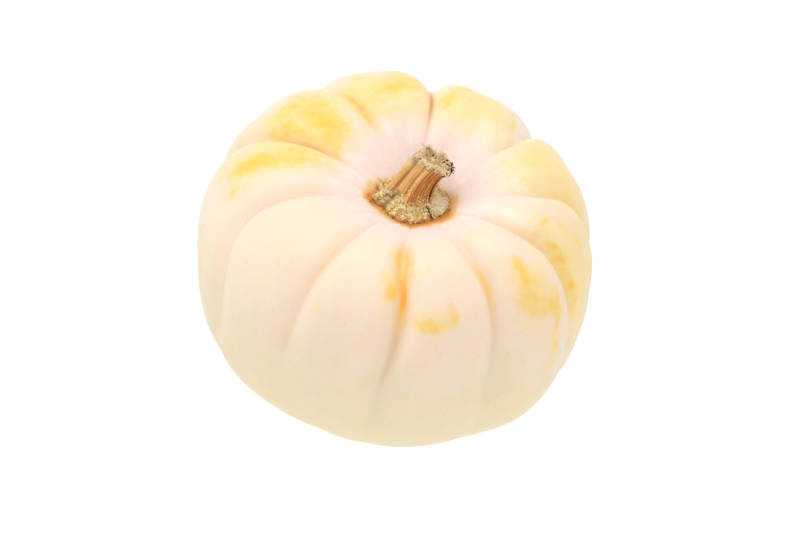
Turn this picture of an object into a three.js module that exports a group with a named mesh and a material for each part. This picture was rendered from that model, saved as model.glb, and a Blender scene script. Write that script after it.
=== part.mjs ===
// A small white pumpkin: a flattened, ribbed fruit with the dry, ridged stub of its stem.
// Millimetres, +Z up. The fruit stands on its flattened underside at z = 0, with its front at -Y.
// Azimuths and latitudes are in degrees. Azimuth runs counterclockwise from +X, seen from above.
import * as THREE from "three";

// Meridian of the fruit, a superellipse with a dimple at each end
const FRUIT_RADIUS = 45;
const SHOULDER = { rise: 35, power: 2.6 };
const BELLY = { drop: 33, power: 2.35 };
const STEM_DIMPLE = { depth: 16.8, radius: 18.8 };
const BLOSSOM_DIMPLE = { depth: 3.5, radius: 12 };
const REST_FLAT = 0.4;

// How the fruit departs from a turned shape
const LOPSIDED = { share: 0.087, towards: 194 };
const OVAL = { share: 0.037, along: -47 };
const UNEVEN_FROM = 10;
const UNEVEN_FULL = 30;
const CROWN_SHIFT = new THREE.Vector2(1.75, -1.4);
const RIB_SWING = { turn: -6, from: 25, to: -35 };
const CROWN_DRIFT = { from: 38, to: 66 };
const LOW_DRIFT = { from: 45, to: 0 };

// Grooves between the ribs: deep on the shoulder, shallow underneath, gone at the two ends
const GROOVE = { depth: 3.95, deepest: 48, fadeUp: 34, fadeDown: 48, underside: 0.05 };
const GROOVE_SHARPNESS = { belly: 1.6, shoulder: 2.5, from: -30, to: 60 };
const RELIEF_FROM = 7;
const RELIEF_FULL = 23;
const SWELL = { latitude: 10, spread: 38 };
const FURROW = { latitude: 32, spread: 30, place: 0.55, width: 0.13 };

// Each rib runs counterclockwise from its groove. Depth is the groove's share of the full depth. Crown and
// low are how far the groove drifts in azimuth, beside the stem and on its way down. Swell lifts the whole
// rib, and furrow is the faint dent along its middle, both in millimetres.
const RIBS = [
  { groove: -166, depth: 0.8, crown: -1, low: 15, swell: 0.2, furrow: 0.2 },
  { groove: -127, depth: 0.72, crown: 1, low: 1, swell: -1.8, furrow: 0 },
  { groove: -93.7, depth: 1.25, crown: -2.8, low: -3.5, swell: -0.3, furrow: 0 },
  { groove: -63.3, depth: 0.8, crown: -2, low: -3.6, swell: 2, furrow: 0.3 },
  { groove: -33, depth: 1.05, crown: -6, low: 0, swell: -0.6, furrow: 0 },
  { groove: -5, depth: 0.9, crown: -10, low: 0, swell: 0.2, furrow: 0.6 },
  { groove: 35, depth: 1.35, crown: -8, low: 0, swell: -0.2, furrow: 0.6 },
  { groove: 83, depth: 1.2, crown: -2, low: 0, swell: 0.6, furrow: 0.7 },
  { groove: 122, depth: 0.65, crown: -3, low: 0, swell: -0.2, furrow: 0.3 },
  { groove: 156, depth: 1, crown: 1, low: 2, swell: -1, furrow: 0 },
];

// Stem: its bent centre line from the floor of the dimple
const STEM_FOOT = new THREE.Vector3(-0.9, 0.2, 0);
const STEM_BEND = new THREE.Vector3(-1.2, 0.5, 6);
const STEM_END = new THREE.Vector3(5, 2, 12.5);
const STEM_GAP = 0.35;
const STEM_SEAT_FADE = 6;

// Ridges of the shaft, with their shares of the ridges' height
const STEM_RIDGES = [
  { azimuth: 190, share: 1.1 },
  { azimuth: 219, share: 0.35 },
  { azimuth: 248, share: 1.1 },
  { azimuth: 285, share: 0.25 },
  { azimuth: 322, share: 0.8 },
  { azimuth: 10, share: 0.5 },
  { azimuth: 62, share: 0.9 },
  { azimuth: 122, share: 0.9 },
];
const RIDGE_WIDTH = 12;

// Lobes of the flared base. Reach is how far a lobe stands out of the plain flare at its foot, and a lobe
// with a larger drop keeps closer to the ground.
const STEM_FLARE = 2.4;
const STEM_LOBES = [
  { azimuth: 157, width: 18, reach: 1.7, drop: 0.8 },
  { azimuth: 196, width: 16, reach: 2.2, drop: 0.9 },
  { azimuth: 228, width: 12, reach: 1.2, drop: 1 },
  { azimuth: 268, width: 22, reach: 2.5, drop: 1.2 },
  { azimuth: 316, width: 18, reach: 1.9, drop: 1.5 },
  { azimuth: 352, width: 20, reach: 2, drop: 1.4 },
];
const RIM_WAVES = { height: 0.35, count: 3, phase: 40 };

// Stem from its seat, over the flared base and up the shaft, to the sunken pith of the cut end.
// Along is measured on the centre line. Flare and ridge are the shares of the lobed base and of the ridges.
const STEM_STATIONS = [
  { radius: 0, along: STEM_GAP, flare: 0, ridge: 0, rim: 0 },
  { radius: 2.6, along: STEM_GAP, flare: 0.3, ridge: 0, rim: 0 },
  { radius: 3.9, along: STEM_GAP, flare: 0.9, ridge: 0.2, rim: 0 },
  { radius: 4.1, along: 0.9, flare: 1, ridge: 0.4, rim: 0 },
  { radius: 4.1, along: 1.8, flare: 0.82, ridge: 0.6, rim: 0 },
  { radius: 4, along: 2.7, flare: 0.6, ridge: 0.8, rim: 0 },
  { radius: 3.9, along: 3.9, flare: 0.38, ridge: 0.9, rim: 0 },
  { radius: 3.8, along: 5.4, flare: 0.2, ridge: 0.9, rim: 0 },
  { radius: 3.7, along: 7.4, flare: 0.08, ridge: 0.85, rim: 0 },
  { radius: 3.7, along: 9.6, flare: 0, ridge: 0.8, rim: 0 },
  { radius: 3.8, along: 11.5, flare: 0, ridge: 0.75, rim: 0.3 },
  { radius: 4.3, along: 12.5, flare: 0, ridge: 0.6, rim: 0.7 },
  { radius: 4.5, along: 13.2, flare: 0, ridge: 0.4, rim: 1 },
  { radius: 3.8, along: 13.6, flare: 0, ridge: 0.2, rim: 1 },
  { radius: 2.7, along: 13.1, flare: 0, ridge: 0, rim: 0.5 },
  { radius: 1.3, along: 12.8, flare: 0, ridge: 0, rim: 0 },
  { radius: 0, along: 12.8, flare: 0, ridge: 0, rim: 0 },
];

// Fineness of the two surfaces
const STEPS_PER_RIB = 10;
const CROWDING_AT_GROOVES = 0.45;
const FRUIT_RINGS = 44;
const STEM_STEPS = 64;
const STEM_RINGS = 28;

const FULL_TURN = 360;
const { degToRad, lerp, clamp, smoothstep, euclideanModulo } = THREE.MathUtils;

function bell(offset, spread) {
  return Math.exp(-((offset / spread) ** 2));
}

// Half of the fruit's mean outline, from the blossom end to the foot of the stem, without ribs.
class Meridian extends THREE.Curve {
  getPoint(share, target = new THREE.Vector2()) {
    return meridianPoint(latitudeAt(share), target);
  }
}

function latitudeAt(share) {
  return lerp(-90, 90, share);
}

function meridianPoint(latitude, target = new THREE.Vector2()) {
  const across = Math.abs(Math.cos(degToRad(latitude)));
  const along = Math.abs(Math.sin(degToRad(latitude)));
  if (latitude > 0) {
    const radius = FRUIT_RADIUS * across ** (2 / SHOULDER.power);
    const dimple = STEM_DIMPLE.depth * bell(radius, STEM_DIMPLE.radius);
    return target.set(radius, SHOULDER.rise * along ** (2 / SHOULDER.power) - dimple);
  }
  const radius = FRUIT_RADIUS * across ** (2 / BELLY.power);
  const dimple = BLOSSOM_DIMPLE.depth * bell(radius, BLOSSOM_DIMPLE.radius);
  return target.set(radius, -BELLY.drop * along ** (2 / BELLY.power) + dimple);
}

function meridianNormal(latitude) {
  const halfStep = 0.05;
  const below = meridianPoint(latitude - halfStep);
  const above = meridianPoint(latitude + halfStep);
  return new THREE.Vector2(above.y - below.y, below.x - above.x).normalize();
}

// Height of the resting plane under the widest level: the lowest ring of the meridian, pressed flat.
function restLevel(latitudes) {
  const heights = latitudes.map((latitude) => meridianPoint(latitude).y);
  return Math.min(...heights) + REST_FLAT;
}

// Azimuth at a share of the way round, with the steps closer together beside the grooves.
function azimuthAt(turn) {
  const whole = turn * RIBS.length;
  const index = Math.min(Math.floor(whole), RIBS.length - 1);
  const place = whole - index;
  const crowded = (1 - Math.cos(Math.PI * place)) / 2;
  const start = RIBS[index].groove;
  return start + ribWidth(index) * lerp(place, crowded, CROWDING_AT_GROOVES);
}

function ribWidth(index) {
  const next = RIBS[(index + 1) % RIBS.length].groove;
  return euclideanModulo(next - RIBS[index].groove, FULL_TURN);
}

// The rib at an azimuth, and the place across it from 0 at its own groove to 1 at the next.
function ribAt(azimuth) {
  for (let index = 0; index < RIBS.length; index++) {
    const place = euclideanModulo(azimuth - RIBS[index].groove, FULL_TURN) / ribWidth(index);
    if (place < 1) {
      return { rib: RIBS[index], next: RIBS[(index + 1) % RIBS.length], place };
    }
  }
  throw new Error("the ribs leave a gap at azimuth " + azimuth);
}

// Where a line along the ribs has got to: all ribs turn aside on their way to the blossom end, and each
// groove drifts a little of its own, which the lines between two grooves share.
function azimuthAlongRib(startAzimuth, latitude) {
  const { rib, next, place } = ribAt(startAzimuth);
  const crown = lerp(rib.crown, next.crown, place);
  const low = lerp(rib.low, next.low, place);
  const swing = RIB_SWING.turn * smoothstep(-latitude, -RIB_SWING.from, -RIB_SWING.to);
  const upper = crown * smoothstep(latitude, CROWN_DRIFT.from, CROWN_DRIFT.to);
  const lower = low * smoothstep(-latitude, -LOW_DRIFT.from, -LOW_DRIFT.to);
  return startAzimuth + swing + upper + lower;
}

function grooveDepth(latitude) {
  const fade = latitude > GROOVE.deepest ? GROOVE.fadeUp : GROOVE.fadeDown;
  return GROOVE.underside + GROOVE.depth * bell(latitude - GROOVE.deepest, fade);
}

function grooveSharpness(latitude) {
  const { belly, shoulder, from, to } = GROOVE_SHARPNESS;
  return lerp(belly, shoulder, clamp((latitude - from) / (to - from), 0, 1));
}

// How far the ribbed skin stands out of the mean surface, below zero in the grooves, for a line
// along the ribs that starts at the given azimuth beside the stem.
function ribRelief(startAzimuth, latitude, radius) {
  const { rib, next, place } = ribAt(startAzimuth);
  const crest = Math.sin(Math.PI * place);
  const valley = (1 - crest) ** grooveSharpness(latitude);
  const groove = grooveDepth(latitude) * lerp(rib.depth, next.depth, place) * valley;
  const swell = rib.swell * crest ** 2 * bell(latitude - SWELL.latitude, SWELL.spread);
  const dent = bell(place - FURROW.place, FURROW.width) * bell(latitude - FURROW.latitude, FURROW.spread);
  const grown = smoothstep(radius, RELIEF_FROM, RELIEF_FULL);
  return grown * (swell - groove - rib.furrow * dent);
}

// The fruit is fuller on one side and a little oval. Round the stem it stays even.
function unevenness(azimuth, radius) {
  const lopsided = LOPSIDED.share * Math.cos(degToRad(azimuth - LOPSIDED.towards));
  const oval = OVAL.share * Math.cos(2 * degToRad(azimuth - OVAL.along));
  return 1 + (lopsided + oval) * smoothstep(radius, UNEVEN_FROM, UNEVEN_FULL);
}

function fruitPoint(startAzimuth, latitude, floor) {
  const mean = meridianPoint(latitude);
  const relief = ribRelief(startAzimuth, latitude, mean.x);
  const azimuth = azimuthAlongRib(startAzimuth, latitude);
  const skin = mean.clone().addScaledVector(meridianNormal(latitude), relief);
  const radius = skin.x * unevenness(azimuth, mean.x);
  const lean = Math.sin(degToRad(latitude));
  const x = radius * Math.cos(degToRad(azimuth)) + CROWN_SHIFT.x * lean;
  const y = radius * Math.sin(degToRad(azimuth)) + CROWN_SHIFT.y * lean;
  return new THREE.Vector3(x, y, Math.max(skin.y, floor) - floor);
}

// A closed surface of rings: a lathe whose vertices are moved to the places that a rule gives
// for the share of the turn and the number of the ring.
function ringSurface(ringCount, steps, pointAt) {
  const profile = Array.from({ length: ringCount + 1 }, (_, ring) => new THREE.Vector2(1, ring));
  const geometry = new THREE.LatheGeometry(profile, steps);
  const position = geometry.getAttribute("position");
  const uv = geometry.getAttribute("uv");
  for (let vertex = 0; vertex < position.count; vertex++) {
    const ring = Math.round(uv.getY(vertex) * ringCount);
    const point = pointAt(uv.getX(vertex), ring);
    position.setXYZ(vertex, point.x, point.y, point.z);
  }
  geometry.computeVertexNormals();
  return geometry;
}

function spacedLatitudes() {
  const meridian = new Meridian();
  const shares = Array.from({ length: FRUIT_RINGS + 1 }, (_, ring) => ring / FRUIT_RINGS);
  return shares.map((share) => latitudeAt(meridian.getUtoTmapping(share)));
}

function fruitBody(latitudes, floor) {
  const geometry = ringSurface(FRUIT_RINGS, RIBS.length * STEPS_PER_RIB, (turn, ring) =>
    fruitPoint(azimuthAt(turn), latitudes[ring], floor),
  );
  const skin = new THREE.MeshStandardMaterial({ color: 0xfae6cb, roughness: 0.45, metalness: 0 });
  const mesh = new THREE.Mesh(geometry, skin);
  mesh.name = "pumpkin_body";
  return mesh;
}

// Rise of the dimple's floor from the stem's axis out to a radius.
function seatRise(radius) {
  const dome = (1 - (radius / FRUIT_RADIUS) ** SHOULDER.power) ** (1 / SHOULDER.power);
  const dimple = STEM_DIMPLE.depth * (1 - bell(radius, STEM_DIMPLE.radius));
  return SHOULDER.rise * (dome - 1) + dimple;
}

function degreesAway(azimuth, other) {
  return euclideanModulo(azimuth - other + 180, FULL_TURN) - 180;
}

function ridgeShare(azimuth) {
  return STEM_RIDGES.reduce(
    (sum, ridge) => sum + ridge.share * bell(degreesAway(azimuth, ridge.azimuth), RIDGE_WIDTH),
    0,
  );
}

// How far the lobed base stands out of the shaft where the flare has the given share of its full width.
function lobedFlare(azimuth, flare) {
  return STEM_LOBES.reduce((sum, lobe) => {
    const across = bell(degreesAway(azimuth, lobe.azimuth), lobe.width);
    return sum + lobe.reach * across * Math.max(flare, 0) ** lobe.drop;
  }, STEM_FLARE * flare);
}

// The stem's stations as one smooth line of rings.
function stemRings() {
  const outline = STEM_STATIONS.map((at) => new THREE.Vector3(at.radius, at.along, at.flare));
  const shares = STEM_STATIONS.map((at, index) => new THREE.Vector3(at.ridge, at.rim, index));
  const outlineRings = new THREE.CatmullRomCurve3(outline).getPoints(STEM_RINGS);
  const shareRings = new THREE.CatmullRomCurve3(shares).getPoints(STEM_RINGS);
  return outlineRings.map((at, ring) => ({
    radius: at.x,
    along: at.y,
    flare: at.z,
    ridge: shareRings[ring].x,
    rim: shareRings[ring].y,
  }));
}

function stemPoint(centreLine, length, ring, azimuth) {
  const { height, count, phase } = RIM_WAVES;
  const wave = ring.rim * height * Math.cos(degToRad(count * (azimuth - phase)));
  const along = ring.along + wave;
  const share = clamp(along / length, 0, 1);
  const risen = smoothstep(along, STEM_GAP, STEM_SEAT_FADE);
  const up = new THREE.Vector3(0, 0, 1).lerp(centreLine.getTangentAt(share), risen).normalize();
  const across = new THREE.Vector3(1, 0, 0).addScaledVector(up, -up.x).normalize();
  const back = up.clone().cross(across);
  const radius = ring.radius + lobedFlare(azimuth, ring.flare) + ring.ridge * ridgeShare(azimuth);
  const point = centreLine.getPointAt(share).addScaledVector(up, along - share * length);
  point.addScaledVector(across, radius * Math.cos(degToRad(azimuth)));
  point.addScaledVector(back, radius * Math.sin(degToRad(azimuth)));
  point.z += seatRise(Math.hypot(point.x, point.y)) * (1 - risen);
  return point;
}

function driedStem(foot) {
  const centreLine = new THREE.QuadraticBezierCurve3(STEM_FOOT, STEM_BEND, STEM_END);
  const length = centreLine.getLength();
  const rings = stemRings();
  const geometry = ringSurface(STEM_RINGS, STEM_STEPS, (turn, ring) =>
    stemPoint(centreLine, length, rings[ring], turn * FULL_TURN),
  );
  const bark = new THREE.MeshStandardMaterial({ color: 0xb98149, roughness: 0.85, metalness: 0 });
  const mesh = new THREE.Mesh(geometry, bark);
  mesh.name = "stem";
  mesh.position.copy(foot);
  return mesh;
}

// The whole pumpkin, with the middle of its box over the origin.
function pumpkin() {
  const latitudes = spacedLatitudes();
  const floor = restLevel(latitudes);
  const foot = new THREE.Vector3(CROWN_SHIFT.x, CROWN_SHIFT.y, meridianPoint(90).y - floor);
  const grown = new THREE.Group();
  grown.add(fruitBody(latitudes, floor));
  grown.add(driedStem(foot));
  const middle = new THREE.Box3().setFromObject(grown).getCenter(new THREE.Vector3());
  grown.position.set(-middle.x, -middle.y, 0);
  const whole = new THREE.Group();
  whole.add(grown);
  return whole;
}

export default pumpkin();
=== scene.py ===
# %% [markdown]
# # A small white pumpkin with a dry stem
#
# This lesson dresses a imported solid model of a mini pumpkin: a cream, ribbed fruit with yellow blush
# and the corky stub of its stem. The solids hold the shape and the size. Blender adds the fine
# surface, the colours and the light. Everything is in metres, in the frame of the solids: +Z is up,
# and the side that the picture shows faces -Y.

import math

import bpy
import numpy as np
from mathutils import Matrix, Vector, noise
from mathutils.bvhtree import BVHTree


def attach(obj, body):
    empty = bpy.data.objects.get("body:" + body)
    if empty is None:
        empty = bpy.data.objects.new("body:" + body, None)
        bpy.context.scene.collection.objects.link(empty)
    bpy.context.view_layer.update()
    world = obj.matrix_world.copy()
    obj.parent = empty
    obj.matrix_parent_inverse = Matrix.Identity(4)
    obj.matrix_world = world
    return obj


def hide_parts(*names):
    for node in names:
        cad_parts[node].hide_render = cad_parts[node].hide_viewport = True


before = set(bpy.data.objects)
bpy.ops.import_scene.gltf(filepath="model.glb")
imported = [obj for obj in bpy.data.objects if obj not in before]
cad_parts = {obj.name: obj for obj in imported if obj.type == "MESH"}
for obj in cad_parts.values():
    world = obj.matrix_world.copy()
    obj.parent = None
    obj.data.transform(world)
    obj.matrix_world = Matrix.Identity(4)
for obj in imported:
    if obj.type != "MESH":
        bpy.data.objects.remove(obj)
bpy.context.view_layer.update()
MM = 0.001
print("solids:", sorted(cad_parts))

# %% [markdown]
# ## The camera
#
# The fruit is seen from well above, with a long lens, so that its far ribs look nearly as large as
# the near ones. A camera could be aimed with a constraint, but a plain place and tilt are easier to
# read.

# %% Camera
CAMERA_TILT = math.radians(47)
CAMERA_DISTANCE = 543 * MM
AIM_POINT = Vector((1.7, 0.4, 27.7)) * MM
FOCAL_LENGTH = 107.9
SENSOR_WIDTH = 36
CLIP_START = 0.01
LEVEL = math.pi / 2

back_off = Vector((0, -math.cos(CAMERA_TILT), math.sin(CAMERA_TILT))) * CAMERA_DISTANCE
bpy.ops.object.camera_add(location=AIM_POINT + back_off, rotation=(LEVEL - CAMERA_TILT, 0, 0))
camera = bpy.context.object
camera.name = "portrait_camera"
camera.data.lens = FOCAL_LENGTH
camera.data.sensor_width = SENSOR_WIDTH
camera.data.clip_start = CLIP_START
bpy.context.scene.camera = camera
print("camera at", [round(value, 3) for value in camera.location])

# %% [markdown]
# ## Floor and light
#
# The picture is bright and nearly without shadows, as on a white table inside a white tent. The top
# of the fruit is brightest and its front is a little darker, so the strongest of four broad lamps
# hangs overhead, and weaker ones stand in front and at both sides. The tent is the world colour, and
# the table's white sheet gives off some light of its own.

# %% Floor and light
FLOOR_SIZE = 8
FLOOR_GAP = 0.02 * MM
WHITE = (1, 1, 1, 1)
SHEET_GREY = (0.35, 0.35, 0.35, 1)
TABLE_GLOW = 0.78
TENT_LIGHT = 0.5
LAMP_AIM = Vector((0, 0, 0.03))
LAMP_SIZE = 0.6
# Each lamp's name, place and power.
LAMPS = [
    ("overhead_lamp", Vector((-0.1, 0.25, 0.8)), 3.9),
    ("front_lamp", Vector((0.1, -0.7, 0.6)), 1.5),
    ("left_lamp", Vector((-0.8, 0.1, 0.4)), 1.0),
    ("right_lamp", Vector((0.8, 0.1, 0.4)), 0.7),
]


def set_inputs(node, settings):
    for name, value in settings.items():
        node.inputs[name].default_value = value


def deselect_all():
    bpy.ops.object.select_all(action="DESELECT")


def add_floor():
    deselect_all()
    bpy.ops.mesh.primitive_plane_add(size=FLOOR_SIZE, location=(0, 0, -FLOOR_GAP))
    floor = bpy.context.object
    floor.name = "white_table"
    sheet = bpy.data.materials.new("white_table_sheet")
    sheet.use_nodes = True
    set_inputs(sheet.node_tree.nodes["Principled BSDF"], {
        "Base Color": SHEET_GREY, "Roughness": 0.8, "Specular IOR Level": 0.1,
        "Emission Color": WHITE, "Emission Strength": TABLE_GLOW,
    })
    floor.data.materials.append(sheet)


def add_tent():
    tent = bpy.data.worlds.new("white_tent")
    tent.use_nodes = True
    set_inputs(tent.node_tree.nodes["Background"], {"Color": WHITE, "Strength": TENT_LIGHT})
    bpy.context.scene.world = tent


def add_lamp(name, place, power):
    aim = (LAMP_AIM - place).to_track_quat("-Z", "Y").to_euler()
    bpy.ops.object.light_add(type="AREA", location=place, rotation=aim)
    lamp = bpy.context.object
    lamp.name = name
    lamp.data.size = LAMP_SIZE
    lamp.data.energy = power


add_floor()
add_tent()
for lamp_name, lamp_place, lamp_power in LAMPS:
    add_lamp(lamp_name, lamp_place, lamp_power)
bpy.context.scene.view_settings.view_transform = "Standard"
print("floor and", len(LAMPS), "lamps are in place")

# %% [markdown]
# ## Fine surfaces from the solids
#
# A solid arrives as loose flat triangles. Its copy is merged into one skin, its triangles are paired
# into four-sided faces and a Subdivision Surface rounds it, in the place of its solid. More helpers
# read, move and mark the points of a mesh, and make soft steps, bells and noise.

# %% Helpers for meshes
MERGE_DISTANCE = 0.002 * MM


def rounded_copy(node_name, piece_name, rounds):
    deselect_all()
    piece = bpy.data.objects.new(piece_name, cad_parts[node_name].data.copy())
    bpy.context.collection.objects.link(piece)
    bpy.context.view_layer.objects.active = piece
    piece.select_set(True)
    piece.data.materials.clear()
    bpy.ops.mesh.customdata_custom_splitnormals_clear()
    bpy.ops.object.mode_set(mode="EDIT")
    bpy.ops.mesh.select_all(action="SELECT")
    bpy.ops.mesh.remove_doubles(threshold=MERGE_DISTANCE)
    bpy.ops.mesh.tris_convert_to_quads(face_threshold=math.pi, shape_threshold=math.pi)
    bpy.ops.object.mode_set(mode="OBJECT")
    sides = [len(face.vertices) for face in piece.data.polygons]
    print(piece_name, "has", sides.count(4), "four-sided and", sides.count(3), "three-sided faces")
    rounding = piece.modifiers.new("rounding", "SUBSURF")
    rounding.levels = rounds
    rounding.render_levels = rounds
    bpy.ops.object.modifier_apply(modifier=rounding.name)
    bpy.ops.object.shade_smooth()
    return piece


def read_vectors(rows, name):
    values = np.empty(len(rows) * 3)
    rows.foreach_get(name, values)
    return values.reshape(-1, 3)


def vertex_places(piece):
    return read_vectors(piece.data.vertices, "co")


def vertex_normals(piece):
    return read_vectors(piece.data.vertex_normals, "vector")


def move_vertices(piece, places):
    piece.data.vertices.foreach_set("co", places.ravel())
    piece.data.update()


def store(piece, name, values, kind="FLOAT", field="value"):
    attribute = piece.data.attributes.new(name, kind, "POINT")
    attribute.data.foreach_set(field, np.asarray(values, dtype=np.float32).ravel())


def store_vectors(piece, name, vectors):
    store(piece, name, vectors, "FLOAT_VECTOR", "vector")


def ease(values, low, high):
    """From zero at low to one at high, with a soft start and a soft end."""
    share = np.clip((values - low) / (high - low), 0, 1)
    return share * share * (3 - 2 * share)


def bell(offset, spread):
    """One at no offset, and close to zero two spreads away."""
    return np.exp(-((offset / spread) ** 2))


def turn_between(turn, other):
    """The shortest way from one turn to the other, in degrees."""
    return (turn - other + 180) % 360 - 180


def facing(turn, middle, spread):
    """A bell round one side, given by its middle and its spread in degrees."""
    return bell(turn_between(turn, middle), spread)


def round_and_up(turn, rise, count=1):
    """Points on a tube, where a turn goes round without a seam and a rise goes up."""
    angle = np.radians(turn)
    return np.column_stack((np.cos(angle) * count, np.sin(angle) * count, rise))


def smooth_noise(places, size=1):
    return np.array([noise.noise(Vector(place) / size) for place in places])


body = rounded_copy("pumpkin_body", "ribbed_fruit", rounds=2)
stem = rounded_copy("stem", "dry_stem", rounds=2)

# %% [markdown]
# ## The skin's own coordinates
#
# Blush, grooves and pores follow the ribs, so each point of the skin gets an azimuth round the stem
# and a latitude from the blossom end to the stem. They could be read from a UV map, but two numbers
# for each point have no seam. The ribs turn aside on their way down, and each groove drifts a little
# of its own, so a second azimuth is measured along the ribs. Both are found in a few rounds, each
# starting from the last result.

# %% Azimuth and latitude on the fruit
FRUIT_AXIS = np.array((3.53, 0.34)) * MM
CROWN_SHIFT = np.array((1.75, -1.4)) * MM
WIDEST_LEVEL = 30.8 * MM
FRUIT_RADIUS = 45 * MM
SHOULDER_RISE = 35 * MM
SHOULDER_POWER = 2.6
BELLY_DROP = 33 * MM
BELLY_POWER = 2.35
STEM_DIMPLE_DEPTH = 16.8 * MM
STEM_DIMPLE_RADIUS = 18.8 * MM
RIB_SWING = 6
GROOVE_AZIMUTHS = np.array((-166, -127, -93.7, -63.3, -33, -5, 35, 83, 122, 156))
CROWN_DRIFTS = np.array((-1, 1, -2.8, -2, -6, -10, -8, -2, -3, 1))
LOW_DRIFTS = np.array((15, 1, -3.5, -3.6, 0, 0, 0, 0, 0, 2))
LEAN_ROUNDS = 3
DRIFT_ROUNDS = 8
# Where the drifts and the swing set in, in degrees of latitude. The last two count downwards.
CROWN_BAND = (38, 66)
LOW_BAND = (-45, 0)
SWING_BAND = (-25, 35)


def latitude_of(radius, level):
    raised = np.maximum(level + STEM_DIMPLE_DEPTH * bell(radius, STEM_DIMPLE_RADIUS), 0)
    sunk = np.maximum(-level, 0)
    outward = radius / FRUIT_RADIUS
    upward = (raised / SHOULDER_RISE) ** (SHOULDER_POWER / 2)
    downward = (sunk / BELLY_DROP) ** (BELLY_POWER / 2)
    above = np.arctan2(upward, outward ** (SHOULDER_POWER / 2))
    below = np.arctan2(downward, outward ** (BELLY_POWER / 2))
    return np.where(level > 0, above, -below)


def skin_coordinates(places):
    level = places[:, 2] - WIDEST_LEVEL
    lean = np.zeros(len(places))
    for _ in range(LEAN_ROUNDS):
        flat = places[:, :2] - FRUIT_AXIS - CROWN_SHIFT * lean[:, None]
        radius = np.hypot(flat[:, 0], flat[:, 1])
        latitude = latitude_of(radius, level)
        lean = np.sin(latitude)
    latitude = np.degrees(latitude)
    turn = np.degrees(np.arctan2(flat[:, 1], flat[:, 0]))
    return turn + RIB_SWING * ease(-latitude, *SWING_BAND), latitude, radius


def azimuth_along_ribs(azimuth, latitude):
    along_ribs = azimuth
    for _ in range(DRIFT_ROUNDS):
        crown = np.interp(along_ribs, GROOVE_AZIMUTHS, CROWN_DRIFTS, period=360)
        low = np.interp(along_ribs, GROOVE_AZIMUTHS, LOW_DRIFTS, period=360)
        crown_drift = crown * ease(latitude, *CROWN_BAND)
        low_drift = low * ease(-latitude, *LOW_BAND)
        along_ribs = azimuth - crown_drift - low_drift
    return along_ribs


azimuth, latitude, axis_distance = skin_coordinates(vertex_places(body))
rib_azimuth = azimuth_along_ribs(azimuth, latitude)
print("latitudes from", round(latitude.min()), "to", round(latitude.max()))

# %% [markdown]
# ## Crisp grooves and a grown unevenness
#
# The solid's grooves are rounded by the subdivision. On the fruit they end in a crisp crease with a
# soft lip at each side. A crease could be cut with edge creases, but its depth differs from groove to
# groove, so the points near each groove line are pressed in by a narrow tent shape. A slow noise
# makes the ribs a little uneven, as grown skin is, and fine wrinkles run out from the stem.

# %% Creases, lips, slow waves and wrinkles
CREASE_DEPTHS = np.array((0.1, 0.15, 0.3, 0.25, 0.2, 0.2, 0.2, 0.1, 0.2, 0.3)) * MM
CREASE_WIDTH = 0.7 * MM
CREASE_START = (0, 35)
CREASE_END = (66, 80)
LIP_SHARE = 0.3
LIP_PLACE = 3 * MM
LIP_WIDTH = 2 * MM
WAVE_HEIGHT = 0.28 * MM
WAVE_SIZE = 9 * MM
WRINKLE_HEIGHT = 0.16 * MM
WRINKLE_COUNT = 9
WRINKLE_LENGTH = 7 * MM
WRINKLE_FADE = (13 * MM, 25 * MM)
FLOOR_FADE = (0.5 * MM, 5 * MM)
SEAT_FADE = (9 * MM, 14 * MM)


def creases(rib_azimuth, latitude, radius):
    pressed = np.zeros(len(latitude))
    fade = ease(latitude, *CREASE_START) * (1 - ease(latitude, *CREASE_END))
    for groove, depth in zip(GROOVE_AZIMUTHS, CREASE_DEPTHS):
        aside = np.abs(np.radians(turn_between(rib_azimuth, groove))) * radius
        pressed -= depth * fade * np.exp(-aside / CREASE_WIDTH)
        pressed += depth * LIP_SHARE * fade * bell(aside - LIP_PLACE, LIP_WIDTH)
    return pressed


def stem_wrinkles(azimuth, latitude, radius):
    rays = round_and_up(azimuth, radius / WRINKLE_LENGTH, WRINKLE_COUNT)
    fade = 1 - ease(radius, *WRINKLE_FADE)
    return WRINKLE_HEIGHT * smooth_noise(rays) * fade * (latitude > 0)


smooth_places = vertex_places(body)
above_floor = ease(smooth_places[:, 2], *FLOOR_FADE)
clear_of_stem = ease(axis_distance, *SEAT_FADE)
slow_waves = WAVE_HEIGHT * smooth_noise(smooth_places, WAVE_SIZE)
lift = creases(rib_azimuth, latitude, axis_distance) + slow_waves
lift += stem_wrinkles(azimuth, latitude, axis_distance)
lift *= above_floor * np.where(latitude > 0, clear_of_stem, 1)
body_places = smooth_places + vertex_normals(body) * lift[:, None]
move_vertices(body, body_places)
print("skin moved by", round(lift.min() / MM, 2), "to", round(lift.max() / MM, 2), "mm")

# %% [markdown]
# ## Where the colours lie
#
# The cream skin carries clouds of yellow. Broad pale washes lie on the ribs at the back and right, and
# smaller deep clouds lie on them and beside some grooves. Each entry is an oval: the azimuth and
# latitude of its middle, its half width round the fruit, its half length along the rib, all in
# degrees, and its strength. They could be painted by hand in vertex paint. As a list they are easy to
# move.

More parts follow.
